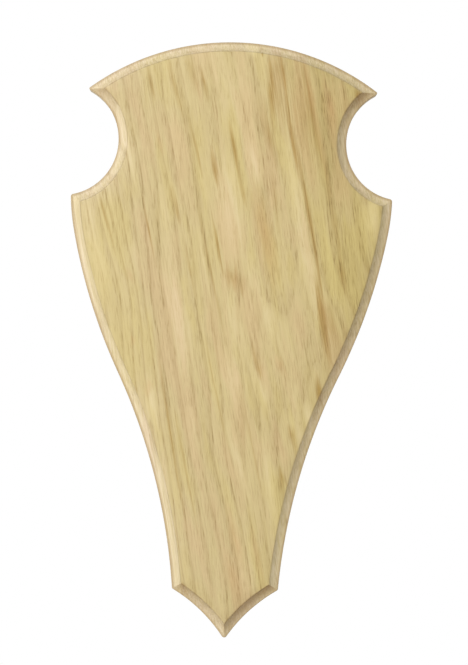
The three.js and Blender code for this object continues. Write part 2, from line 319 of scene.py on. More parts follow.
def crossing(a, b, near):
    """The crossing of two arcs' circles that lies nearest to a point."""
    (ax, az), ra, _ = a
    (bx, bz), rb, _ = b
    apart = math.hypot(bx - ax, bz - az)
    along = (ra ** 2 - rb ** 2 + apart ** 2) / (2 * apart)
    across = math.sqrt(max(ra ** 2 - along ** 2, 0))
    ux, uz = (bx - ax) / apart, (bz - az) / apart
    both = [(ax + along * ux - s * across * uz, az + along * uz + s * across * ux) for s in (1, -1)]
    return min(both, key=lambda p: math.hypot(p[0] - near[0], p[1] - near[1]))


def arc_points(arc, start, end, steps):
    """Even points along an arc the short way round, without the last."""
    first = direction(arc[0], start)
    sweep = direction(arc[0], end) - first
    sweep -= 2 * math.pi * round(sweep / (2 * math.pi))
    return [point_on(arc, first + sweep * i / steps) for i in range(steps)]


def rounded_corner(before, after, inset, rounding, near):
    """The rounding between two arcs at an inset, with where it starts and ends."""
    radius = max(rounding - inset, SHARPEST_ROUNDING)
    centre = crossing(moved_in(before, inset + radius), moved_in(after, inset + radius), near)
    start = foot_on(moved_in(before, inset), centre)
    end = foot_on(moved_in(after, inset), centre)
    return (centre, radius, True), start, end


def half_outline(inset):
    """The right half from the middle of the top down to the tip."""
    mirrored_bottom = ((-BOTTOM[0][0], BOTTOM[0][1]), BOTTOM[1], BOTTOM[2])
    ear = rounded_corner(TOP, NOTCH, inset, EAR_ROUNDING, (50, 200))
    peak = rounded_corner(NOTCH, SHOULDER, inset, SHOULDER_ROUNDING, (58, 162))
    foot = rounded_corner(LOWER_FLANK, BOTTOM, inset, FOOT_ROUNDING, (19, 18))
    tip = rounded_corner(BOTTOM, mirrored_bottom, inset, TIP_ROUNDING, (0, 1))
    top, notch, shoulder, upper, lower, bottom = (
        moved_in(arc, inset) for arc in (TOP, NOTCH, SHOULDER, UPPER_FLANK, LOWER_FLANK, BOTTOM))
    apex = point_on(top, math.pi / 2)
    turn = foot_on(shoulder, SHOULDER_TURN)
    swing = foot_on(lower, UPPER_FLANK[0])
    tip_end = (0, tip[0][0][1] - tip[0][1])
    return (
        arc_points(top, apex, ear[1], 44) + arc_points(ear[0], ear[1], ear[2], 5)
        + arc_points(notch, ear[2], peak[1], 44) + arc_points(peak[0], peak[1], peak[2], 5)
        + arc_points(shoulder, peak[2], turn, 8) + arc_points(upper, turn, swing, 30)
        + arc_points(lower, swing, foot[1], 44) + arc_points(foot[0], foot[1], foot[2], 5)
        + arc_points(bottom, foot[2], tip[1], 20) + arc_points(tip[0], tip[1], tip_end, 4)
        + [tip_end])


def outline(inset):
    """The whole outline round the board, clockwise from the front, with z from its middle."""
    right = half_outline(inset)
    left = [(-x, z) for x, z in reversed(right[1:-1])]
    return [(x, z - HEIGHT / 2) for x, z in right + left]


# ---- board ----


def edge_section():
    """The edge from the back to the front face as (inset, y) pairs, and the outer arris's y."""
    section = []
    for i in range(5):
        turn = math.pi / 2 * i / 4
        section.append((BACK_EASING * (1 - math.sin(turn)), -BACK_EASING * (1 - math.cos(turn))))
    cove = []
    for i in range(17):
        slope = COVE_SHALLOW + (COVE_STEEP - COVE_SHALLOW) * i / 16
        inset = COVE_RADIUS * (math.sin(slope) - math.sin(COVE_SHALLOW)) + OUTER_EASING
        cove.append((inset, COVE_RADIUS * (math.cos(slope) - math.cos(COVE_STEEP)) - THICKNESS))
    section.append((0, COVE_START / 2))
    for i in range(4):
        turn = math.pi / 2 * i / 4
        section.append((
            OUTER_EASING * (1 - math.cos(turn)),
            COVE_START + OUTER_EASING * (1 - math.sin(turn))))
    arris = section[-1][1]
    section += cove[:-1]
    inset, face = cove[-1]
    section += [
        (inset - FACE_EASING / 2, face + FACE_EASING),
        (inset + FACE_EASING / 3, face + FACE_EASING / 5), (inset + FACE_EASING, face)]
    return section, arris


def board_mesh():
    """Rings of the outline stacked along the edge's section and closed by the two flat faces."""
    bm = bmesh.new()
    section, arris = edge_section()
    rings = []
    for inset, y in section:
        ring = []
        sanded = max(0, min(1, (arris - y + SANDED_BEHIND) / SANDED_WITHIN))
        for x, z in outline(inset):
            wander = noise.noise(Vector((x, z, y)) / WANDER_LENGTH) * HAND_SANDING * sanded
            sink = wander if -y < THICKNESS else 0
            shrink = 1 - wander / HALF_WIDTH
            ring.append(bm.verts.new(place(x * shrink, y + sink, z)))
        rings.append(ring)
    for lower, upper in zip(rings, rings[1:]):
        for (a, b), (c, d) in zip(next_pairs(lower), next_pairs(upper)):
            bm.faces.new((a, c, d, b))
    fill_flat(bm, rings[0], 0)
    fill_flat(bm, rings[-1], -THICKNESS)
    bmesh.ops.recalc_face_normals(bm, faces=bm.faces)
    return bm


def fill_flat(bm, ring, y):
    """Closes a ring of the board with a flat sheet of even triangles."""
    flat = [Vector((v.co.x / MM, (v.co.z - MIDDLE_Z) / MM)) for v in ring]
    edges = [(i, (i + 1) % len(flat)) for i in range(len(flat))]
    last_column = HALF_WIDTH // FILL_SPACING
    last_row = HEIGHT // 2 // FILL_SPACING
    grid = [
        Vector((FILL_SPACING * (column + 0.5 * (row % 2)), FILL_SPACING * row))
        for row in range(-last_row, last_row + 1)
        for column in range(-last_column, last_column + 1)]
    inside = [p for p in grid if well_inside(p, flat, FILL_MARGIN)]
    points, _, faces, *_ = delaunay_2d_cdt(flat + inside, edges, [], 1, 1e-6)
    verts = list(ring) + [bm.verts.new(place(p.x, y, p.y)) for p in points[len(flat):]]
    for face in faces:
        bm.faces.new([verts[i] for i in face])


def well_inside(point, outline_points, margin):
    """Whether a point lies inside an outline and at least a margin from it."""
    crossings = 0
    for a, b in next_pairs(outline_points):
        if (point - a).length < margin:
            return False
        if (a.y > point.y) != (b.y > point.y):
            if point.x < a.x + (b.x - a.x) * (point.y - a.y) / (b.y - a.y):
                crossings += 1
    return crossings % 2 == 1


# ---- oak ----

GRAIN_LEAN = math.tan(math.radians(10.5))   # the grain leans this far to the left going up
GRAIN_WANDER = 5.0                          # and strays this far from straight
# The lean back and to the left also makes the end-grain mask paint shade on the down-facing bevels,
# most on the bottom right, and not on the top ones.
FIBRES = (-0.18, 0.45, 0.87)                # the way that the fibres run: up, back and to the left
PORE_LEAN = math.tan(math.radians(6))
RAGGED_END = 14.0                           # how far a streak's end is frayed along the grain
PITH = (28, 45)                             # the tree's centre, across and behind the face
PITH_DRIFT = 0.03
RING_SPACING = 2.9
RING_BULGE = 9.0                            # how far the noise moves a ring, which makes flames

# The figure of this board's face. Each streak is (across, height, half width, half length, lean in
# degrees, strength), in millimetres from the board's middle. Across is taken where the leaning
# grain line through the streak crosses the middle height.
PALE_STREAKS = (
    (34.4, 42, 3.6, 40, 1, 0.65), (15.5, 92, 9.0, 26, 2, 0.3), (20.3, 68, 3.6, 13, -2, 0.85),
    (8.2, 50, 5.0, 26, 0, 0.7), (15.5, 14, 3.0, 22, 9, 0.45), (4.0, 4, 3.6, 22, 0, 0.4),
    (5.8, -56, 4.2, 26, 0, 0.45), (-4.6, -44, 2.2, 20, 2, 0.6), (-4.4, 26, 1.2, 20, 3, 0.5),
    (-43.5, 34, 3.0, 24, 2, 0.55), (-25.5, 70, 1.0, 18, 2, 0.5), (-16.5, 44, 2.4, 16, 0, 0.3),
    (-17.5, 8, 5.5, 30, 0, 0.7), (-18.5, -32, 2.6, 12, 0, 0.3), (-33.0, -24, 3.0, 10, 0, 0.6),
    (9.0, -16, 3.0, 12, 0, 0.6), (61.0, 46, 3.4, 9, -8, 0.8), (-30.0, 31, 2.0, 8, 0, 0.3),
    (9.0, 104, 6.0, 12, 0, 0.2), (0.0, -16, 5.0, 16, 0, 0.5), (20.0, -26, 4.0, 18, 0, 0.4),
    (44.0, 28, 3.0, 22, 0, 0.2), (26.0, 108, 4.0, 4, 0, 1.0), (25.0, -30, 2.6, 8, 0, 0.9),
)
BROWN_STREAKS = (
    (30.6, 91, 1.7, 16, -4, 1.0), (36.0, 96, 0.8, 12, 0, 0.95), (27.5, 76, 2.6, 18, 5, 0.5),
    (36.2, 74, 1.2, 20, 2, 1.0), (38.0, 44, 1.1, 30, 1, 1.0), (36.9, 8, 2.2, 22, -3, 1.0),
    (44.2, 86, 2.0, 24, 0, 0.45), (46.6, 48, 1.5, 34, 3, 0.4), (40.5, 84, 6.0, 28, 0, 0.35),
    (33.0, 90, 3.0, 20, 0, 0.4), (5.8, 94, 1.3, 9, 2, 0.6), (-4.3, 92, 1.2, 18, 4, 0.4),
    (-1.0, 70, 0.8, 12, 5, 0.5), (4.6, 64, 1.5, 8, 4, 0.75), (13.0, 70, 1.1, 11, 2, 0.8),
    (14.0, 55, 1.2, 8, 4, 0.5), (6.0, 23, 5.2, 6, 0, 0.45), (1.4, 33, 0.9, 13, 3, 0.7),
    (-2.4, 24, 0.8, 30, 4, 0.4), (-12.8, 95, 1.1, 8, 4, 0.6), (-11.8, 50, 1.3, 8, 3, 0.55),
    (-23.4, 40, 0.7, 16, 0, 0.6), (-10.4, 28, 0.8, 14, 2, 0.45), (9.6, -10, 1.6, 9, 3, 0.55),
    (17.2, -36, 1.8, 5, 0, 0.7), (10.8, -52, 1.6, 5, -8, 0.6), (-27.5, -34, 0.9, 40, 0, 0.6),
    (40.0, 8, 3.0, 10, 0, 0.4), (2.6, 100, 2.0, 12, 0, 0.35), (35.0, 102, 4.0, 8, 0, 0.3),
    (26.0, 50, 2.0, 12, 0, 0.35), (-24.0, -50, 0.6, 28, 1, 0.4), (-7.6, -20, 0.6, 30, 1, 0.35),
    (1.6, -44, 0.8, 22, 1, 0.3), (47.2, 24, 1.4, 8, 0, 0.6), (-38.0, 44, 0.7, 14, 4, 0.5),
    (63.2, 90, 2.4, 6, 0, 1.0), (30.6, -19, 1.8, 9, 0, 1.0), (-32.2, -92, 1.6, 4, 0, 0.8),
    (29.4, 107, 1.0, 3, 0, 0.9),
)
ROSY_STREAKS = (
    (20.0, 40, 4.6, 22, 3, 0.9), (51.0, 86, 3.4, 14, -4, 0.9), (-11.0, -72, 2.6, 14, 4, 0.7),
    (-14.0, -88, 3.0, 12, 2, 0.6), (-4.0, -80, 1.8, 14, 3, 0.5), (45.6, 78, 1.6, 26, 3, 0.6),
    (17.6, -10, 2.2, 6, 0, 0.6), (-13.4, 73, 1.6, 6, 0, 0.5), (6.4, 22, 4.6, 5, 0, 0.4),
    (-33.5, 23, 1.6, 4, 0, 0.5), (-33.0, -19, 2.4, 3, 0, 0.5), (-36.5, -1, 1.6, 3, 0, 0.5),
)
TONE_LEVEL = -0.322                         # sets the board's average tone
FIGURE_DEPTH = 9                            # how deep below the face these streaks run

STRAW = (
    (0.0, "#86703f"), (0.2, "#a28d5e"), (0.4, "#b19d6d"), (0.5, "#b6a274"), (0.65, "#bca97e"),
    (0.8, "#c2ae86"), (1.0, "#cfbe9b"))
OLIVE_TO_ROSE = ((0.34, "#f7faf0"), (0.5, "#f7faff"), (0.66, "#f9f6ff"))
GOLDEN = "#fbfbe2"
ROSY = "#faeadf"
BROWN = "#dac899"
# The moulding's pale colour: paler sanded wood, and a painted sheen and highlight.
SANDED_AND_SHEEN = "#dccfbc"
# The dark brown of oiled end grain, also used for painted shade on the bevels and at the arris.
OILED_AND_SHADE_BROWN = "#76561f"


def streak_sum(tree, grain, streaks):
    """The summed strength of a family of streaks: each is a long soft ellipsoid in the grain.

    A streak fades evenly from its core to its rim. Its strength is its average from side to side.
    """
    total = 0.0
    for across, height, half_width, half_length, lean, strength in streaks:
        local = add(
            tree, "ShaderNodeMapping",
            {"Vector": grain, "Location": (across, -THICKNESS, height),
             "Rotation": (0, math.radians(-lean), 0),
             "Scale": (half_width, FIGURE_DEPTH, half_length)},
            vector_type="TEXTURE")
        fall = add(tree, "ShaderNodeTexGradient", [local], gradient_type="SPHERICAL")
        total = add(
            tree, "ShaderNodeMath",
            [fall.outputs["Fac"], strength * 2, total], operation="MULTIPLY_ADD")
    return total


def start_wood(tree):
    """Starts a wood with its places: millimetres from the middle of the board's back."""
    where = add(tree, "ShaderNodeTexCoord").outputs["Object"]
    middle = add(
        tree, "ShaderNodeMapping",
        {"Vector": where, "Location": (0, -BACK_Y / MM, -MIDDLE_Z / MM), "Scale": (1 / MM,) * 3})
    x, y, z = add(tree, "ShaderNodeSeparateXYZ", [middle]).outputs
    return SimpleNamespace(tree=tree, middle=middle, x=x, y=y, z=z)


def lay_grain(wood):
    """Grain lines that lean and wander slowly, and fibres that fray all that follows them."""
    tree = wood.tree
    wander = stretched_noise(tree, wood.middle, (0.035, 0.035, 0.014), detail=1.0, roughness=0.4)
    shift = add(tree, "ShaderNodeMath", [wander, -0.5], operation="ADD")
    leaned = add(tree, "ShaderNodeMath", [wood.z, GRAIN_LEAN, wood.x], operation="MULTIPLY_ADD")
    wood.across = add(
        tree, "ShaderNodeMath", [shift, GRAIN_WANDER, leaned], operation="MULTIPLY_ADD")
    wood.grain = add(tree, "ShaderNodeCombineXYZ", [wood.across, wood.y, wood.z])

    fibres = stretched_noise(tree, wood.grain, (1.5, 1.5, 0.05), detail=4.0, roughness=0.62)
    wood.fray = add(tree, "ShaderNodeMath", [fibres, -0.5], operation="ADD")
    wood.frayed_across = add(tree, "ShaderNodeMath", [wood.fray, wood.across], operation="ADD")
    ragged = stretched_noise(tree, wood.grain, (0.5, 0.3, 0.06))
    raised = add(tree, "ShaderNodeMath", [ragged, RAGGED_END, wood.z], operation="MULTIPLY_ADD")
    height = add(tree, "ShaderNodeMath", [raised, -RAGGED_END / 2], operation="ADD")
    wood.frayed = add(tree, "ShaderNodeCombineXYZ", [wood.frayed_across, wood.y, height])


def grow_rings(wood):
    """Growth rings round the pith. A season runs from 0 to 1, and each year has its vintage."""
    tree = wood.tree
    bulge = stretched_noise(tree, wood.grain, (0.055, 0.05, 0.013), detail=1.0, roughness=0.35)
    from_pith = add(tree, "ShaderNodeMath", [wood.frayed_across, -PITH[0]], operation="ADD")
    behind = add(tree, "ShaderNodeMath", [wood.z, PITH_DRIFT, PITH[1]], operation="MULTIPLY_ADD")
    depth = add(tree, "ShaderNodeMath", [wood.y, behind], operation="SUBTRACT")
    flat = add(tree, "ShaderNodeCombineXYZ", [from_pith, depth, 0.0])
    radius = add(tree, "ShaderNodeVectorMath", [flat], operation="LENGTH").outputs["Value"]
    bulged = add(tree, "ShaderNodeMath", [bulge, RING_BULGE, radius], operation="MULTIPLY_ADD")
    years = add(tree, "ShaderNodeMath", [bulged, 1 / RING_SPACING], operation="MULTIPLY")
    wood.season = add(tree, "ShaderNodeMath", [years], operation="FRACT")
    age = add(tree, "ShaderNodeMath", [years], operation="FLOOR")
    draw = add(tree, "ShaderNodeTexWhiteNoise", {"W": age}, noise_dimensions="1D")
    wood.vintage = draw.outputs["Value"]


def line_years(wood):
    """Each ring starts with a line of pores, bold in some years and on the left of the face."""
    tree = wood.tree
    row = with_stops(
        add(tree, "ShaderNodeValToRGB", [wood.season]),
        ((0, 0.6), (0.05, 1.0), (0.13, 0.8), (0.26, 0.1), (0.4, 0.0), (0.95, 0.0)))
    boldness = add(tree, "ShaderNodeMath", [wood.vintage, 0.9, 0.25], operation="MULTIPLY_ADD")
    bold_row = add(tree, "ShaderNodeMath", [row, boldness], operation="MULTIPLY")
    left_side = add(
        tree, "ShaderNodeMapRange",
        {"Value": wood.across, "From Min": -12.0, "From Max": 14.0, "To Min": 0.65, "To Max": 0.4})
    on_side = add(tree, "ShaderNodeMath", [bold_row, left_side], operation="MULTIPLY")
    on_face = add(
        tree, "ShaderNodeMapRange",
        {"Value": wood.y, "From Min": -THICKNESS, "From Max": 1 - THICKNESS, "To Min": 1.0,
         "To Max": 0.45})
    wood.year_line = add(tree, "ShaderNodeMath", [on_side, on_face], operation="MULTIPLY")


def open_pores(wood):
    """Fine lines along the grain, and pores cut open as dashes a few millimetres long."""
    tree = wood.tree
    wood.lines = stretched_noise(tree, wood.grain, (2.4, 0.9, 0.045), detail=3.0, roughness=0.7)
    leaned = add(tree, "ShaderNodeMath", [wood.z, PORE_LEAN, wood.x], operation="MULTIPLY_ADD")
    along = add(tree, "ShaderNodeCombineXYZ", [leaned, wood.y, wood.z])
    flecks = stretched_noise(tree, along, (3.3, 3.3, 0.22), roughness=0.55)
    wood.pores = add(
        tree, "ShaderNodeMapRange",
        {"Value": flecks, "From Min": 0.47, "From Max": 0.7}, interpolation_type="SMOOTHSTEP")


def oak_tone(wood):
    """How pale the wood is, from 0 to 1. The right-hand side is a shade darker."""
    tree = wood.tree
    heart = add(
        tree, "ShaderNodeMapRange",
        {"Value": wood.across, "From Min": 34.0, "From Max": 48.0, "To Min": 0.36, "To Max": 0.27},
        interpolation_type="SMOOTHSTEP")
    ring_tone = with_stops(
        add(tree, "ShaderNodeValToRGB", [wood.season]),
        ((0, 0.2), (0.1, 0.4), (0.35, 0.75), (0.9, 1.0), (1, 0.2)))
    patches = stretched_noise(tree, wood.frayed, (0.11, 0.08, 0.02))
    early = add(tree, "ShaderNodeMath", [wood.season, -0.7, 1.25], operation="MULTIPLY_ADD")
    pitted = add(tree, "ShaderNodeMath", [wood.pores, early], operation="MULTIPLY")
    pale = streak_sum(tree, wood.frayed, PALE_STREAKS)
    tone = heart
    for part, weight in (
            (ring_tone, 0.1), (wood.vintage, 0.06), (patches, 0.165), (wood.lines, 0.31),
            (wood.fray, 0.29), (pale, 0.22), (pitted, -0.185), (wood.year_line, -0.095)):
        tone = add(tree, "ShaderNodeMath", [part, weight, tone], operation="MULTIPLY_ADD")
    return add(tree, "ShaderNodeMath", [tone, TONE_LEVEL], operation="ADD")


def oak_colour(wood):
    """Straw that drifts between olive and rose, turns golden to the right and is streaked."""
    tree = wood.tree
    hue = stretched_noise(tree, wood.frayed, (0.16, 0.1, 0.03), offset=(31, 7, 3))
    drift = with_stops(add(tree, "ShaderNodeValToRGB", [hue]), OLIVE_TO_ROSE)
    fresh = add(
        tree, "ShaderNodeMapRange",
        {"Value": wood.across, "From Min": -24.0, "From Max": 0.0, "To Min": 0.0, "To Max": 0.22})
    aged = add(
        tree, "ShaderNodeMapRange",
        {"Value": wood.across, "From Min": 32.0, "From Max": 46.0, "To Min": 0.0, "To Max": 0.5},
        interpolation_type="SMOOTHSTEP")
    golden = add(tree, "ShaderNodeMath", [fresh, aged], operation="ADD")
    rosy = streak_sum(tree, wood.frayed, ROSY_STREAKS)
    rosy_share = add(tree, "ShaderNodeMath", [rosy, 0.55], operation="MULTIPLY", use_clamp=True)

    # The dark lines are stained too, and the stain is broken up along the fine lines.
    brown = streak_sum(tree, wood.frayed, BROWN_STREAKS)
    threads = add(
        tree, "ShaderNodeMapRange",
        {"Value": wood.lines, "From Min": 0.35, "From Max": 0.65, "To Min": 1.0, "To Max": 0.35})
    stain = add(tree, "ShaderNodeMath", [wood.year_line, 0.45, brown], operation="MULTIPLY_ADD")
    brown_share = add(
        tree, "ShaderNodeMath", [stain, threads], operation="MULTIPLY", use_clamp=True)

    colour = with_stops(add(tree, "ShaderNodeValToRGB", [oak_tone(wood)]), STRAW)
    for share, tint in (
            (1.0, drift), (golden, linear(GOLDEN)), (rosy_share, linear(ROSY)),
            (brown_share, linear(BROWN))):
        colour = add(
            tree, "ShaderNodeMix", {"Factor": share, "A": colour, "B": tint},
            data_type="RGBA", blend_type="MULTIPLY")
    return colour


def sanded_edge_and_painted_sheen(wood, colour):
    """The cutter and sanding pale the moulding, and a painted sheen and highlight add more, in torn
    streaks.
    """
    tree = wood.tree
    # Paler sanded wood and a painted sheen and highlight: everything behind the front face is
    # lightened.
    moulded = add(
        tree, "ShaderNodeMapRange",
        {"Value": wood.y, "From Min": -THICKNESS, "From Max": FACE_EASING - THICKNESS,
         "To Min": 0.0, "To Max": 0.2})
    # Painted sheen: the shallow outer part of the cove, and all behind it, is lightened a little
    # more.
    outer = add(
        tree, "ShaderNodeMapRange",
        {"Value": wood.y, "From Min": COVE_START - 1.6, "From Max": COVE_START - 0.6, "To Min": 0.0,
         "To Max": 0.06})
    torn = add(
        tree, "ShaderNodeMapRange",
        {"Value": wood.lines, "From Min": 0.3, "From Max": 0.7, "To Min": 0.3, "To Max": 1.7})
    paler = add(tree, "ShaderNodeMath", [moulded, outer], operation="ADD")
    share = add(tree, "ShaderNodeMath", [paler, torn], operation="MULTIPLY", use_clamp=True)
    return add(
        tree, "ShaderNodeMix",
        {"Factor": share, "A": colour, "B": linear(SANDED_AND_SHEEN)}, data_type="RGBA")


def oiled_ends_and_painted_shade(wood, colour):
    """End grain oils darker; the mask also paints shade on down-facing bevels, the arris and the
    sides.
    """
    tree = wood.tree
    faces = add(tree, "ShaderNodeNewGeometry").outputs["Normal"]
    # End grain is darker, and this mask is also painted shade: it darkens the down-facing bevels,
    # the bottom-right most.
    along = add(tree, "ShaderNodeVectorMath", [faces, FIBRES], operation="DOT_PRODUCT")
    end_on = add(tree, "ShaderNodeMath", [along.outputs["Value"]], operation="ABSOLUTE")
    end_grain_and_painted_shade = add(
        tree, "ShaderNodeMapRange",
        {"Value": end_on, "From Min": 0.48, "From Max": 1.0, "To Min": 0.0, "To Max": 0.9})
    # Painted shade: a dark line along the outer arris and a fainter darkening of the side wall
    # behind it.
    arris = add(
        tree, "ShaderNodeMapRange",
        {"Value": wood.y, "From Min": COVE_START - 0.3, "From Max": COVE_START - 0.04,
         "To Min": 0.0, "To Max": 0.44})
    side = add(
        tree, "ShaderNodeMapRange",
        {"Value": wood.y, "From Min": COVE_START + 0.35, "From Max": COVE_START + 1.2,
         "To Min": 1.0, "To Max": 0.3})
    arris_painted_shade = add(tree, "ShaderNodeMath", [arris, side], operation="MULTIPLY")
    # Darker end grain together with the painted shade.
    thirst_and_painted_shade = add(tree, "ShaderNodeMath", [arris_painted_shade, end_grain_and_painted_shade], operation="MAXIMUM")
    return add(
        tree, "ShaderNodeMix",
        {"Factor": thirst_and_painted_shade, "A": colour, "B": linear(OILED_AND_SHADE_BROWN)}, data_type="RGBA")


def oak():
    """Flat-sawn European oak, sanded and sealed with a clear satin oil.

    The eye sees straw-coloured wood with a leaning figure of growth rings, each starting with a
    line of open pores, short dark pore dashes, brown and rosy streaks and one broad pale band,
    darker thirsty end grain with painted shade on the down-facing bevels and along the outer arris,
    a moulding paler from sanding and a painted sheen, and a soft satin sheen that the pores break.
    """
    material, tree = new_material("oak_clear_satin_oil")
    wood = start_wood(tree)
    lay_grain(wood)
    grow_rings(wood)
    line_years(wood)
    open_pores(wood)
    colour = oiled_ends_and_painted_shade(wood, sanded_edge_and_painted_sheen(wood, oak_colour(wood)))

    # Pores are pits, and the fibres between them stand a few hundredths of a millimetre proud.
    pits = add(tree, "ShaderNodeMath", [wood.pores, -1.0], operation="MULTIPLY")
    relief = add(tree, "ShaderNodeMath", [wood.fray, 0.6, pits], operation="MULTIPLY_ADD")
    bump = add(
        tree, "ShaderNodeBump", {"Strength": 0.35, "Distance": 0.04 * MM, "Height": relief})
    gloss = add(tree, "ShaderNodeMapRange", {"Value": wood.pores, "To Min": 0.5, "To Max": 0.68})
    shader = add(
        tree, "ShaderNodeBsdfPrincipled",
        {"Base Color": colour, "Roughness": gloss, "Normal": bump, "IOR": 1.5})
    add(tree, "ShaderNodeOutputMaterial", {"Surface": shader})
    return material


# ---- metal and rubber ----

# Object coordinates are metres here, so the patterns' scales are cycles per metre.


def plated_steel(name, colour, shaded_colour, roughness):
    """Bright-plated steel: tumbled, so the gloss is broken by faint scuffs and dull spots."""
    material, tree = new_material(name)
    where = add(tree, "ShaderNodeTexCoord").outputs["Object"]
    scuffs = stretched_noise(tree, where, (2500, 900, 900), detail=4.0, roughness=0.6)
    clouds = stretched_noise(tree, where, (350, 350, 350), detail=3.0)
    tarnish = add(tree, "ShaderNodeMapRange", {"Value": clouds, "From Min": 0.4, "From Max": 0.75})
    tint = add(
        tree, "ShaderNodeMix",
        {"Factor": tarnish, "A": linear(colour), "B": linear(shaded_colour)}, data_type="RGBA")
    dull = add(
        tree, "ShaderNodeMapRange",
        {"Value": scuffs, "From Min": 0.3, "From Max": 0.7, "To Min": roughness - 0.07,
         "To Max": roughness + 0.12})
    bump = add(
        tree, "ShaderNodeBump", {"Strength": 0.12, "Distance": 0.01 * MM, "Height": scuffs})
    shader = add(
        tree, "ShaderNodeBsdfPrincipled",
        {"Base Color": tint, "Metallic": 1.0, "Roughness": dull, "Normal": bump})
    add(tree, "ShaderNodeOutputMaterial", {"Surface": shader})
    return material


def moulded_rubber():
    """Dark brown bumper rubber: moulded, so it is matt with a fine even grain and some dust."""
    material, tree = new_material("moulded_rubber_dark_brown")
    where = add(tree, "ShaderNodeTexCoord").outputs["Object"]
    fine = stretched_noise(tree, where, (4000, 4000, 4000))
    dust = stretched_noise(tree, where, (500, 500, 500), detail=4.0)
    bloom = add(
        tree, "ShaderNodeMapRange",
        {"Value": dust, "From Min": 0.45, "From Max": 0.8, "To Min": 0.0, "To Max": 0.35})
    colour = add(
        tree, "ShaderNodeMix",
        {"Factor": bloom, "A": linear("#3a2a20"), "B": linear("#6b5a4c")}, data_type="RGBA")
    bump = add(tree, "ShaderNodeBump", {"Strength": 0.3, "Distance": 0.03 * MM, "Height": fine})
    shader = add(
        tree, "ShaderNodeBsdfPrincipled",
        {"Base Color": colour, "Roughness": 0.72, "Normal": bump, "IOR": 1.52})
    add(tree, "ShaderNodeOutputMaterial", {"Surface": shader})
    return material


# ---- turned and cut shapes ----


def turned(profile, segments, x, z):
    """A profile of (radius, y) pairs turned about an axis along Y through (x, z).

    A pair on the axis is a single point, so the faces beside it are triangles.
    """
    bm = bmesh.new()
    rings = []
    for radius, y in profile:
        if radius == 0:
            rings.append([bm.verts.new(place(x, y, z))])
            continue
        angles = [2 * math.pi * i / segments for i in range(segments)]
        rings.append([
            bm.verts.new(place(x + radius * math.cos(a), y, z + radius * math.sin(a)))
            for a in angles])
    for lower, upper in zip(rings, rings[1:]):
        for i in range(segments):
            j = (i + 1) % segments
            corners = (
                lower[i % len(lower)], lower[j % len(lower)],
                upper[j % len(upper)], upper[i % len(upper)])
            bm.faces.new(list(dict.fromkeys(corners)))
    bmesh.ops.recalc_face_normals(bm, faces=bm.faces)
    return bm


def rod(radius, y_low, y_high, z):
    """A plain round cutter along Y on the centre line."""
    profile = ((0, y_low), (radius, y_low), (radius, y_high), (0, y_high))
    return from_bmesh("cutter", turned(profile, 48, 0, z))


def join_loops(bm, near, far):
    """Caps two matching loops and walls the space between them."""
    bm.faces.new(near)
    bm.faces.new(far)
    for (a, b), (c, d) in zip(next_pairs(near), next_pairs(far)):
        bm.faces.new((a, b, d, c))


def prism(points, y_low, y_high):
    """A cutter with a flat outline of (x, z) points, from one y to another."""
    bm = bmesh.new()
    near = [bm.verts.new(place(x, y_low, z)) for x, z in points]
    far = [bm.verts.new(place(x, y_high, z)) for x, z in points]
    join_loops(bm, near, far)
    bmesh.ops.recalc_face_normals(bm, faces=bm.faces)
    return from_bmesh("cutter", bm)


def pilot_hole(z):
    """A cutter for the hole that a screw sits in, with its drill point."""
    radius = SHANK_RADIUS + SCREW_CLEARANCE
    depth = SHANK_LENGTH - HEAD_SEAT + SCREW_CLEARANCE
    profile = (
        (0, -depth), (SCREW_CLEARANCE, -depth), (radius, POINT_LENGTH - depth), (radius, 1), (0, 1))
    return from_bmesh("cutter", turned(profile, 32, 0, z))


# ---- hanger ----

LEAF_MIDDLE = SEAT_GAP + STRAP_THICKNESS / 2
LOOP_Y = LEAF_MIDDLE + LOOP_RADIUS
OUTER_LEAF_MIDDLE = LEAF_MIDDLE + STRAP_THICKNESS + LEAF_GAP
HEAD_SEAT = 2 * STRAP_THICKNESS + LEAF_GAP + 2 * SEAT_GAP


def strap_section():
    """The bent strip seen from the side: (y, z, way out) along the middle of the metal."""
    untrimmed_end = -STRAP_REACH - 1
    line = [(LEAF_MIDDLE, untrimmed_end, math.pi)]
    for i in range(41):
        angle = math.pi - 1.5 * math.pi * i / 40
        line.append((LOOP_Y + LOOP_RADIUS * math.cos(angle), LOOP_RADIUS * math.sin(angle), angle))
    bend = LOOP_Y - OUTER_LEAF_MIDDLE
    for i in range(1, 11):
        angle = math.pi / 2 + math.pi / 2 * i / 10
        line.append((
            LOOP_Y + bend * math.cos(angle), -LOOP_RADIUS - bend + bend * math.sin(angle),
            angle + math.pi))
    line.append((OUTER_LEAF_MIDDLE, untrimmed_end, 0))
    return line


def bent_strip():
    """The strip folded round the loop, before it is trimmed."""
    half = STRAP_THICKNESS / 2
    line = strap_section()
    outer = [(y + half * math.cos(a), z + half * math.sin(a)) for y, z, a in line]
    inner = [(y - half * math.cos(a), z - half * math.sin(a)) for y, z, a in line]
    bm = bmesh.new()
    sides = []
    for x in (-STRAP_WIDTH / 2, STRAP_WIDTH / 2):
        sides.append([
            [bm.verts.new(place(x, y, LOOP_HEIGHT + z)) for y, z in edge]
            for edge in (outer, inner)])
    (outer_left, inner_left), (outer_right, inner_right) = sides
    for i in range(len(line) - 1):
        bm.faces.new((outer_left[i], outer_left[i + 1], outer_right[i + 1], outer_right[i]))
        bm.faces.new((inner_left[i], inner_left[i + 1], inner_right[i + 1], inner_right[i]))
        bm.faces.new((outer_left[i], outer_left[i + 1], inner_left[i + 1], inner_left[i]))
        bm.faces.new((outer_right[i], outer_right[i + 1], inner_right[i + 1], inner_right[i]))
    for i in (0, -1):
        bm.faces.new((outer_left[i], outer_right[i], inner_right[i], inner_left[i]))
    bmesh.ops.recalc_face_normals(bm, faces=bm.faces)
    return from_bmesh("hanger_strap_plated", bm)


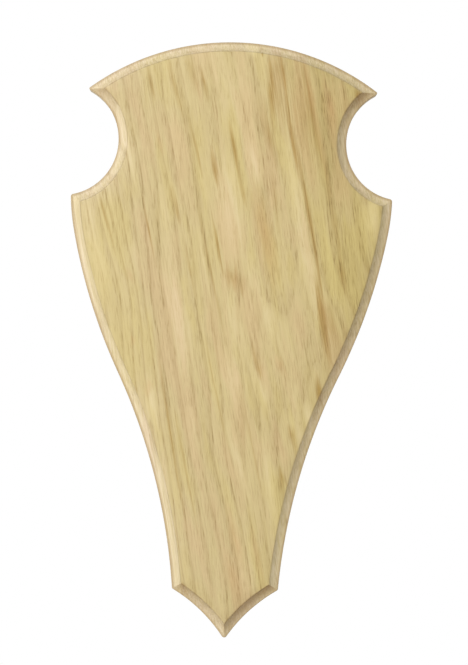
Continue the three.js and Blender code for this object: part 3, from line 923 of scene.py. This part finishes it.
def trimming_outline():
    """What the die keeps of the strip: all of it, down to a round end."""
    radius = STRAP_WIDTH / 2
    end = LOOP_HEIGHT - STRAP_REACH + radius
    beside = radius + 1
    above = LOOP_HEIGHT + 4
    rim = [(-beside, end), (-radius, end)]
    for i in range(1, 32):
        turn = math.pi + math.pi * i / 32
        rim.append((radius * math.cos(turn), end + radius * math.sin(turn)))
    return rim + [(radius, end), (beside, end), (beside, above), (-beside, above)]


def strap():
    """The strip is bent, trimmed to a round end, drilled and its sheared edges are eased."""
    piece = bent_strip()
    cut(piece, prism(trimming_outline(), -2, 6), "INTERSECT")
    for drop in SCREW_DROPS:
        cut(piece, rod(SHANK_RADIUS + SCREW_CLEARANCE, -1, 3, LOOP_HEIGHT - drop))
    return eased(piece, SHEARED_EDGE, 50)


def ring_line():
    """The D-ring's wire in its own plane, from one butted end round to the other."""
    bar = RING_HALF_WIDTH - RING_CORNER_RADIUS
    leg_top = RING_CORNER_RADIUS + RING_LEG
    start = RING_JOINT_GAP / 2
    points = [(start + (bar - start) * i / 6, 0) for i in range(6)]
    for i in range(13):
        angle = math.pi / 2 * (i / 12 - 1)
        points.append((
            bar + RING_CORNER_RADIUS * math.cos(angle),
            RING_CORNER_RADIUS + RING_CORNER_RADIUS * math.sin(angle)))
    for i in range(25):
        angle = math.pi / 2 * i / 24
        points.append((
            RING_HALF_WIDTH * math.cos(angle), leg_top + RING_HALF_WIDTH * math.sin(angle)))
    return points + [(-x, z) for x, z in reversed(points[:-1])]


def new_geometry_tree(name, *inputs):
    """A node group with named inputs, each with the kind of its socket, and a geometry output."""
    tree = bpy.data.node_groups.new(name, "GeometryNodeTree")
    for label, kind in inputs:
        tree.interface.new_socket(label, in_out="INPUT", socket_type="NodeSocket" + kind)
    tree.interface.new_socket("Made", in_out="OUTPUT", socket_type="NodeSocketGeometry")
    return tree


def wire_tree(material):
    """Geometry Nodes: a round wire along a curve, with closed ends."""
    tree = new_geometry_tree(
        "bent_wire", ("Path", "Geometry"), ("Wire Radius", "Float"), ("Sides", "Int"))
    given = add(tree, "NodeGroupInput")
    profile = add(
        tree, "GeometryNodeCurvePrimitiveCircle",
        {"Resolution": given.outputs["Sides"], "Radius": given.outputs["Wire Radius"]})
    swept = add(
        tree, "GeometryNodeCurveToMesh",
        {"Curve": given.outputs["Path"], "Profile Curve": profile, "Fill Caps": True})
    real = add(tree, "GeometryNodeRealizeInstances", {"Geometry": swept})
    coated = add(tree, "GeometryNodeSetMaterial", {"Geometry": real, "Material": material})
    add(tree, "NodeGroupOutput", [coated])
    return tree


def run_tree(piece, tree, **values):
    """Runs a Geometry Nodes tree on a piece with its named inputs and keeps the plain mesh."""
    modifier = piece.modifiers.new(tree.name, "NODES")
    modifier.node_group = tree
    for item in tree.interface.items_tree:
        if item.in_out == "INPUT" and item.name in values:
            modifier[item.identifier] = values[item.name]
    graph = bpy.context.evaluated_depsgraph_get()
    mesh = bpy.data.meshes.new_from_object(piece.evaluated_get(graph), depsgraph=graph)
    name = piece.name
    bpy.data.objects.remove(piece)
    return new_object(name, shaded(mesh))


def ring(material):
    """The bent wire ring, leaning against the board."""
    curve = bpy.data.curves.new("ring_line", "CURVE")
    curve.dimensions = "3D"
    points = [
        place(x, LOOP_Y - z * math.sin(RING_LEAN), LOOP_HEIGHT + z * math.cos(RING_LEAN))
        for x, z in ring_line()]
    spline = curve.splines.new("POLY")
    spline.points.add(len(points) - 1)
    for target, point in zip(spline.points, points):
        target.co = (*point, 1)
    path = new_object("hanger_ring_plated", curve)
    return run_tree(path, wire_tree(material), **{"Wire Radius": WIRE_RADIUS * MM, "Sides": 24})


# ---- screws ----


def recess_slot(z, turn):
    """One arm of the driver's cross as a cutter: wide at the crown and narrow at the floor."""
    crown = HEAD_SEAT + HEAD_HEIGHT
    bm = bmesh.new()
    rims = []
    for above, half_length, half_width in (RECESS_FLOOR, RECESS_MOUTH):
        rim = []
        for sx, sz in ((-1, -1), (1, -1), (1, 1), (-1, 1)):
            a, b = sx * half_length, sz * half_width
            rim.append(bm.verts.new(place(
                a * math.cos(turn) - b * math.sin(turn), crown + above,
                z + a * math.sin(turn) + b * math.cos(turn))))
        rims.append(rim)
    join_loops(bm, *rims)
    bmesh.ops.recalc_face_normals(bm, faces=bm.faces)
    return from_bmesh("cutter", bm)


def thread_tree(material):
    """Geometry Nodes: winds a sharp thread round a screw's shank and joins it to the screw."""
    tree = new_geometry_tree(
        "wood_thread", ("Screw", "Geometry"), ("Pitch", "Float"), ("Turns", "Float"),
        ("Root Radius", "Float"), ("Thread Size", "Float"), ("Start", "Vector"))
    given = add(tree, "NodeGroupInput")
    rise = add(
        tree, "ShaderNodeMath",
        [given.outputs["Pitch"], given.outputs["Turns"]], operation="MULTIPLY")
    spiral = add(
        tree, "GeometryNodeCurveSpiral",
        {"Resolution": 24, "Rotations": given.outputs["Turns"],
         "Start Radius": given.outputs["Root Radius"], "End Radius": given.outputs["Root Radius"],
         "Height": rise})
    turned_out = add(
        tree, "GeometryNodeTransform",
        {"Geometry": spiral, "Translation": given.outputs["Start"],
         "Rotation": (-math.pi / 2, 0, 0)})
    ridge = add(
        tree, "GeometryNodeCurvePrimitiveCircle",
        {"Resolution": 3, "Radius": given.outputs["Thread Size"]})
    thread = add(
        tree, "GeometryNodeCurveToMesh",
        {"Curve": turned_out, "Profile Curve": ridge, "Fill Caps": True})
    joined = add(tree, "GeometryNodeJoinGeometry")
    tree.links.new(given.outputs["Screw"], joined.inputs[0])
    tree.links.new(thread.outputs[0], joined.inputs[0])
    real = add(tree, "GeometryNodeRealizeInstances", {"Geometry": joined})
    coated = add(tree, "GeometryNodeSetMaterial", {"Geometry": real, "Material": material})
    add(tree, "NodeGroupOutput", [coated])
    return tree


def screw(name, z, tree):
    """A pan-head wood screw: a domed head with a rolled rim, a waisted shank and a point."""
    point = HEAD_SEAT - SHANK_LENGTH
    rim = HEAD_SEAT + HEAD_RIM_SHARE * HEAD_HEIGHT
    waist = SHANK_RADIUS - WAIST
    profile = [
        (0, point), (ROOT_RADIUS, point + POINT_LENGTH), (ROOT_RADIUS, HEAD_SEAT - PLAIN_SHANK),
        (waist, HEAD_SEAT - WAIST_LENGTH), (waist, HEAD_SEAT),
        (HEAD_RADIUS - HEAD_RIM_EASING, HEAD_SEAT), (HEAD_RADIUS, HEAD_SEAT + HEAD_RIM_EASING),
        (HEAD_RADIUS, rim)]
    for i in range(1, 10):
        turn = math.pi / 2 * i / 10
        radius = HEAD_RADIUS * math.cos(turn) ** DOME_FULLNESS
        profile.append((radius, rim + (1 - HEAD_RIM_SHARE) * HEAD_HEIGHT * math.sin(turn)))
    profile.append((0, HEAD_SEAT + HEAD_HEIGHT))
    piece = from_bmesh(name, turned(profile, 48, 0, z))
    for turn in RECESS_TURNS:
        cut(piece, recess_slot(z, turn))
    eased(piece, STRUCK_EDGE, 40)
    turns = (SHANK_LENGTH - POINT_LENGTH - PLAIN_SHANK) / THREAD_PITCH
    return run_tree(piece, tree, **{
        "Pitch": THREAD_PITCH * MM, "Turns": turns, "Root Radius": ROOT_RADIUS * MM,
        "Thread Size": (SHANK_RADIUS - ROOT_RADIUS) * MM,
        "Start": tuple(place(0, point + POINT_LENGTH, z))})


# ---- bumpers ----


def bumper(name, x):
    """A stick-on foot: its side tapers slightly and its flat top has a well-rounded edge."""
    drawn_in, foot_height = BUMPER_FOOT
    profile = [
        (0, SEAT_GAP), (BUMPER_RADIUS - drawn_in, SEAT_GAP),
        (BUMPER_RADIUS, SEAT_GAP + foot_height)]
    for i in range(13):
        turn = math.pi / 2 * i / 12
        profile.append((
            BUMPER_RADIUS - BUMPER_CROWN * (1 - math.cos(turn)) - BUMPER_TAPER,
            BUMPER_HEIGHT - BUMPER_CROWN * (1 - math.sin(turn))))
    profile.append((0, BUMPER_HEIGHT))
    return from_bmesh(name, turned(profile, 72, x, -BUMPER_DROP))


# ---- the pieces ----

board = from_bmesh("oak_board_moulded", board_mesh())
for drop in SCREW_DROPS:
    cut(board, pilot_hole(LOOP_HEIGHT - drop))
board.data.materials.append(oak())
finished(board, "board", "oak", "oak_board")

hanger_plate = plated_steel("brass_plated_steel", "#dcb964", "#a88242", 0.3)
screw_plate = plated_steel("yellow_zinc_plated_steel", "#d9c07a", "#a99458", 0.34)

strap_piece = strap()
strap_piece.data.materials.append(hanger_plate)
finished(strap_piece, "board", "hanger_plate", "hanger_strap")
finished(ring(hanger_plate), "ring", "hanger_plate", "hanger_ring")

thread = thread_tree(screw_plate)
for level, drop in zip(("upper", "lower"), SCREW_DROPS):
    piece = screw(f"hanger_screw_{level}_threaded", LOOP_HEIGHT - drop, thread)
    finished(piece, "board", "screw_plate", f"hanger_screw_{level}")

rubber = moulded_rubber()
for hand, side in (("left", -1), ("right", 1)):
    piece = bumper(f"wall_bumper_{hand}_moulded", side * BUMPER_SPREAD)
    piece.data.materials.append(rubber)
    finished(piece, "board", "bumper_rubber", f"wall_bumper_{hand}")


# ---- camera, floor and light ----

VIEW_HEIGHT = 245.88                        # framed by the camera, in the outline's plane
CAMERA_STAND = (1.764, -1300, 2.730)        # from the middle of the board's back
CAMERA_ROLL = math.radians(0.967)
SENSOR_WIDTH = 36
OUTLINE_DEPTH = 12                          # the outline's plane, in front of the back
FLOOR_RADIUS = 1.75                         # in metres
FLOOR_DROP = 190                            # below the board's tip
FRONT_AMBIENT = 0.68                        # against 1 behind the board
# Each light's place in metres from the face's middle, its side in metres and its power in watts.
KEY_LIGHT = ((-0.563, -0.956, 0.5), 0.6, 13.6)
BACK_FILL = ((0.5, 0.5, 0.4), 0.4, 2.0)


def make_camera():
    """A long lens that looks square at the board, rolled so that the board looks a little askew."""
    data = bpy.data.cameras.new("camera")
    data.sensor_width = SENSOR_WIDTH
    distance = -CAMERA_STAND[1] - OUTLINE_DEPTH
    data.lens = SENSOR_WIDTH * distance / VIEW_HEIGHT
    data.clip_end = 20
    camera = bpy.data.objects.new("camera", data)
    right = Vector((math.cos(CAMERA_ROLL), 0, math.sin(CAMERA_ROLL)))
    up = Vector((-math.sin(CAMERA_ROLL), 0, math.cos(CAMERA_ROLL)))
    back = Vector((0, -1, 0))
    turn = Matrix((right, up, back)).transposed()
    camera.matrix_world = Matrix.Translation(place(*CAMERA_STAND)) @ turn.to_4x4()
    scene.collection.objects.link(camera)
    scene.camera = camera


def make_light(name, spot, size, power):
    """A square soft box aimed at the board's middle."""
    data = bpy.data.lights.new(name, "AREA")
    data.size = size
    data.energy = power
    light = bpy.data.objects.new(name, data)
    aim = place(0, -THICKNESS, 0)
    light.location = aim + Vector(spot)
    light.rotation_mode = "QUATERNION"
    light.rotation_quaternion = (-Vector(spot)).to_track_quat("-Z", "Y")
    scene.collection.objects.link(light)


def make_floor():
    """A round pale floor well below the hanging shield."""
    bm = bmesh.new()
    bmesh.ops.create_circle(bm, cap_ends=True, segments=96, radius=FLOOR_RADIUS)
    for vert in bm.verts:
        vert.co += place(0, 0, -HEIGHT / 2 - FLOOR_DROP)
    floor = from_bmesh("floor", bm)
    material, tree = new_material("white_paper")
    shader = add(
        tree, "ShaderNodeBsdfPrincipled", {"Base Color": linear("#f2f2f0"), "Roughness": 0.9})
    add(tree, "ShaderNodeOutputMaterial", {"Surface": shader})
    floor.data.materials.append(material)


def make_surroundings():
    """A white tent: its back wall is brightest and the side that the camera stands on is dimmer."""
    world = bpy.data.worlds.new("white_tent")
    world.use_nodes = True
    tree = world.node_tree
    heading = add(tree, "ShaderNodeTexCoord").outputs["Generated"]
    apart = add(tree, "ShaderNodeSeparateXYZ", [heading])
    wall = add(
        tree, "ShaderNodeMapRange",
        {"Value": apart.outputs["Y"], "From Min": -0.3, "From Max": 0.4, "To Min": FRONT_AMBIENT,
         "To Max": 1.0})
    background = tree.nodes["Background"]
    background.inputs["Color"].default_value = (1, 1, 1, 1)
    tree.links.new(wall.outputs[0], background.inputs["Strength"])
    scene.world = world
    scene.view_settings.view_transform = "Standard"


make_camera()
make_floor()
make_surroundings()
make_light("key", *KEY_LIGHT)
make_light("back_fill", *BACK_FILL)
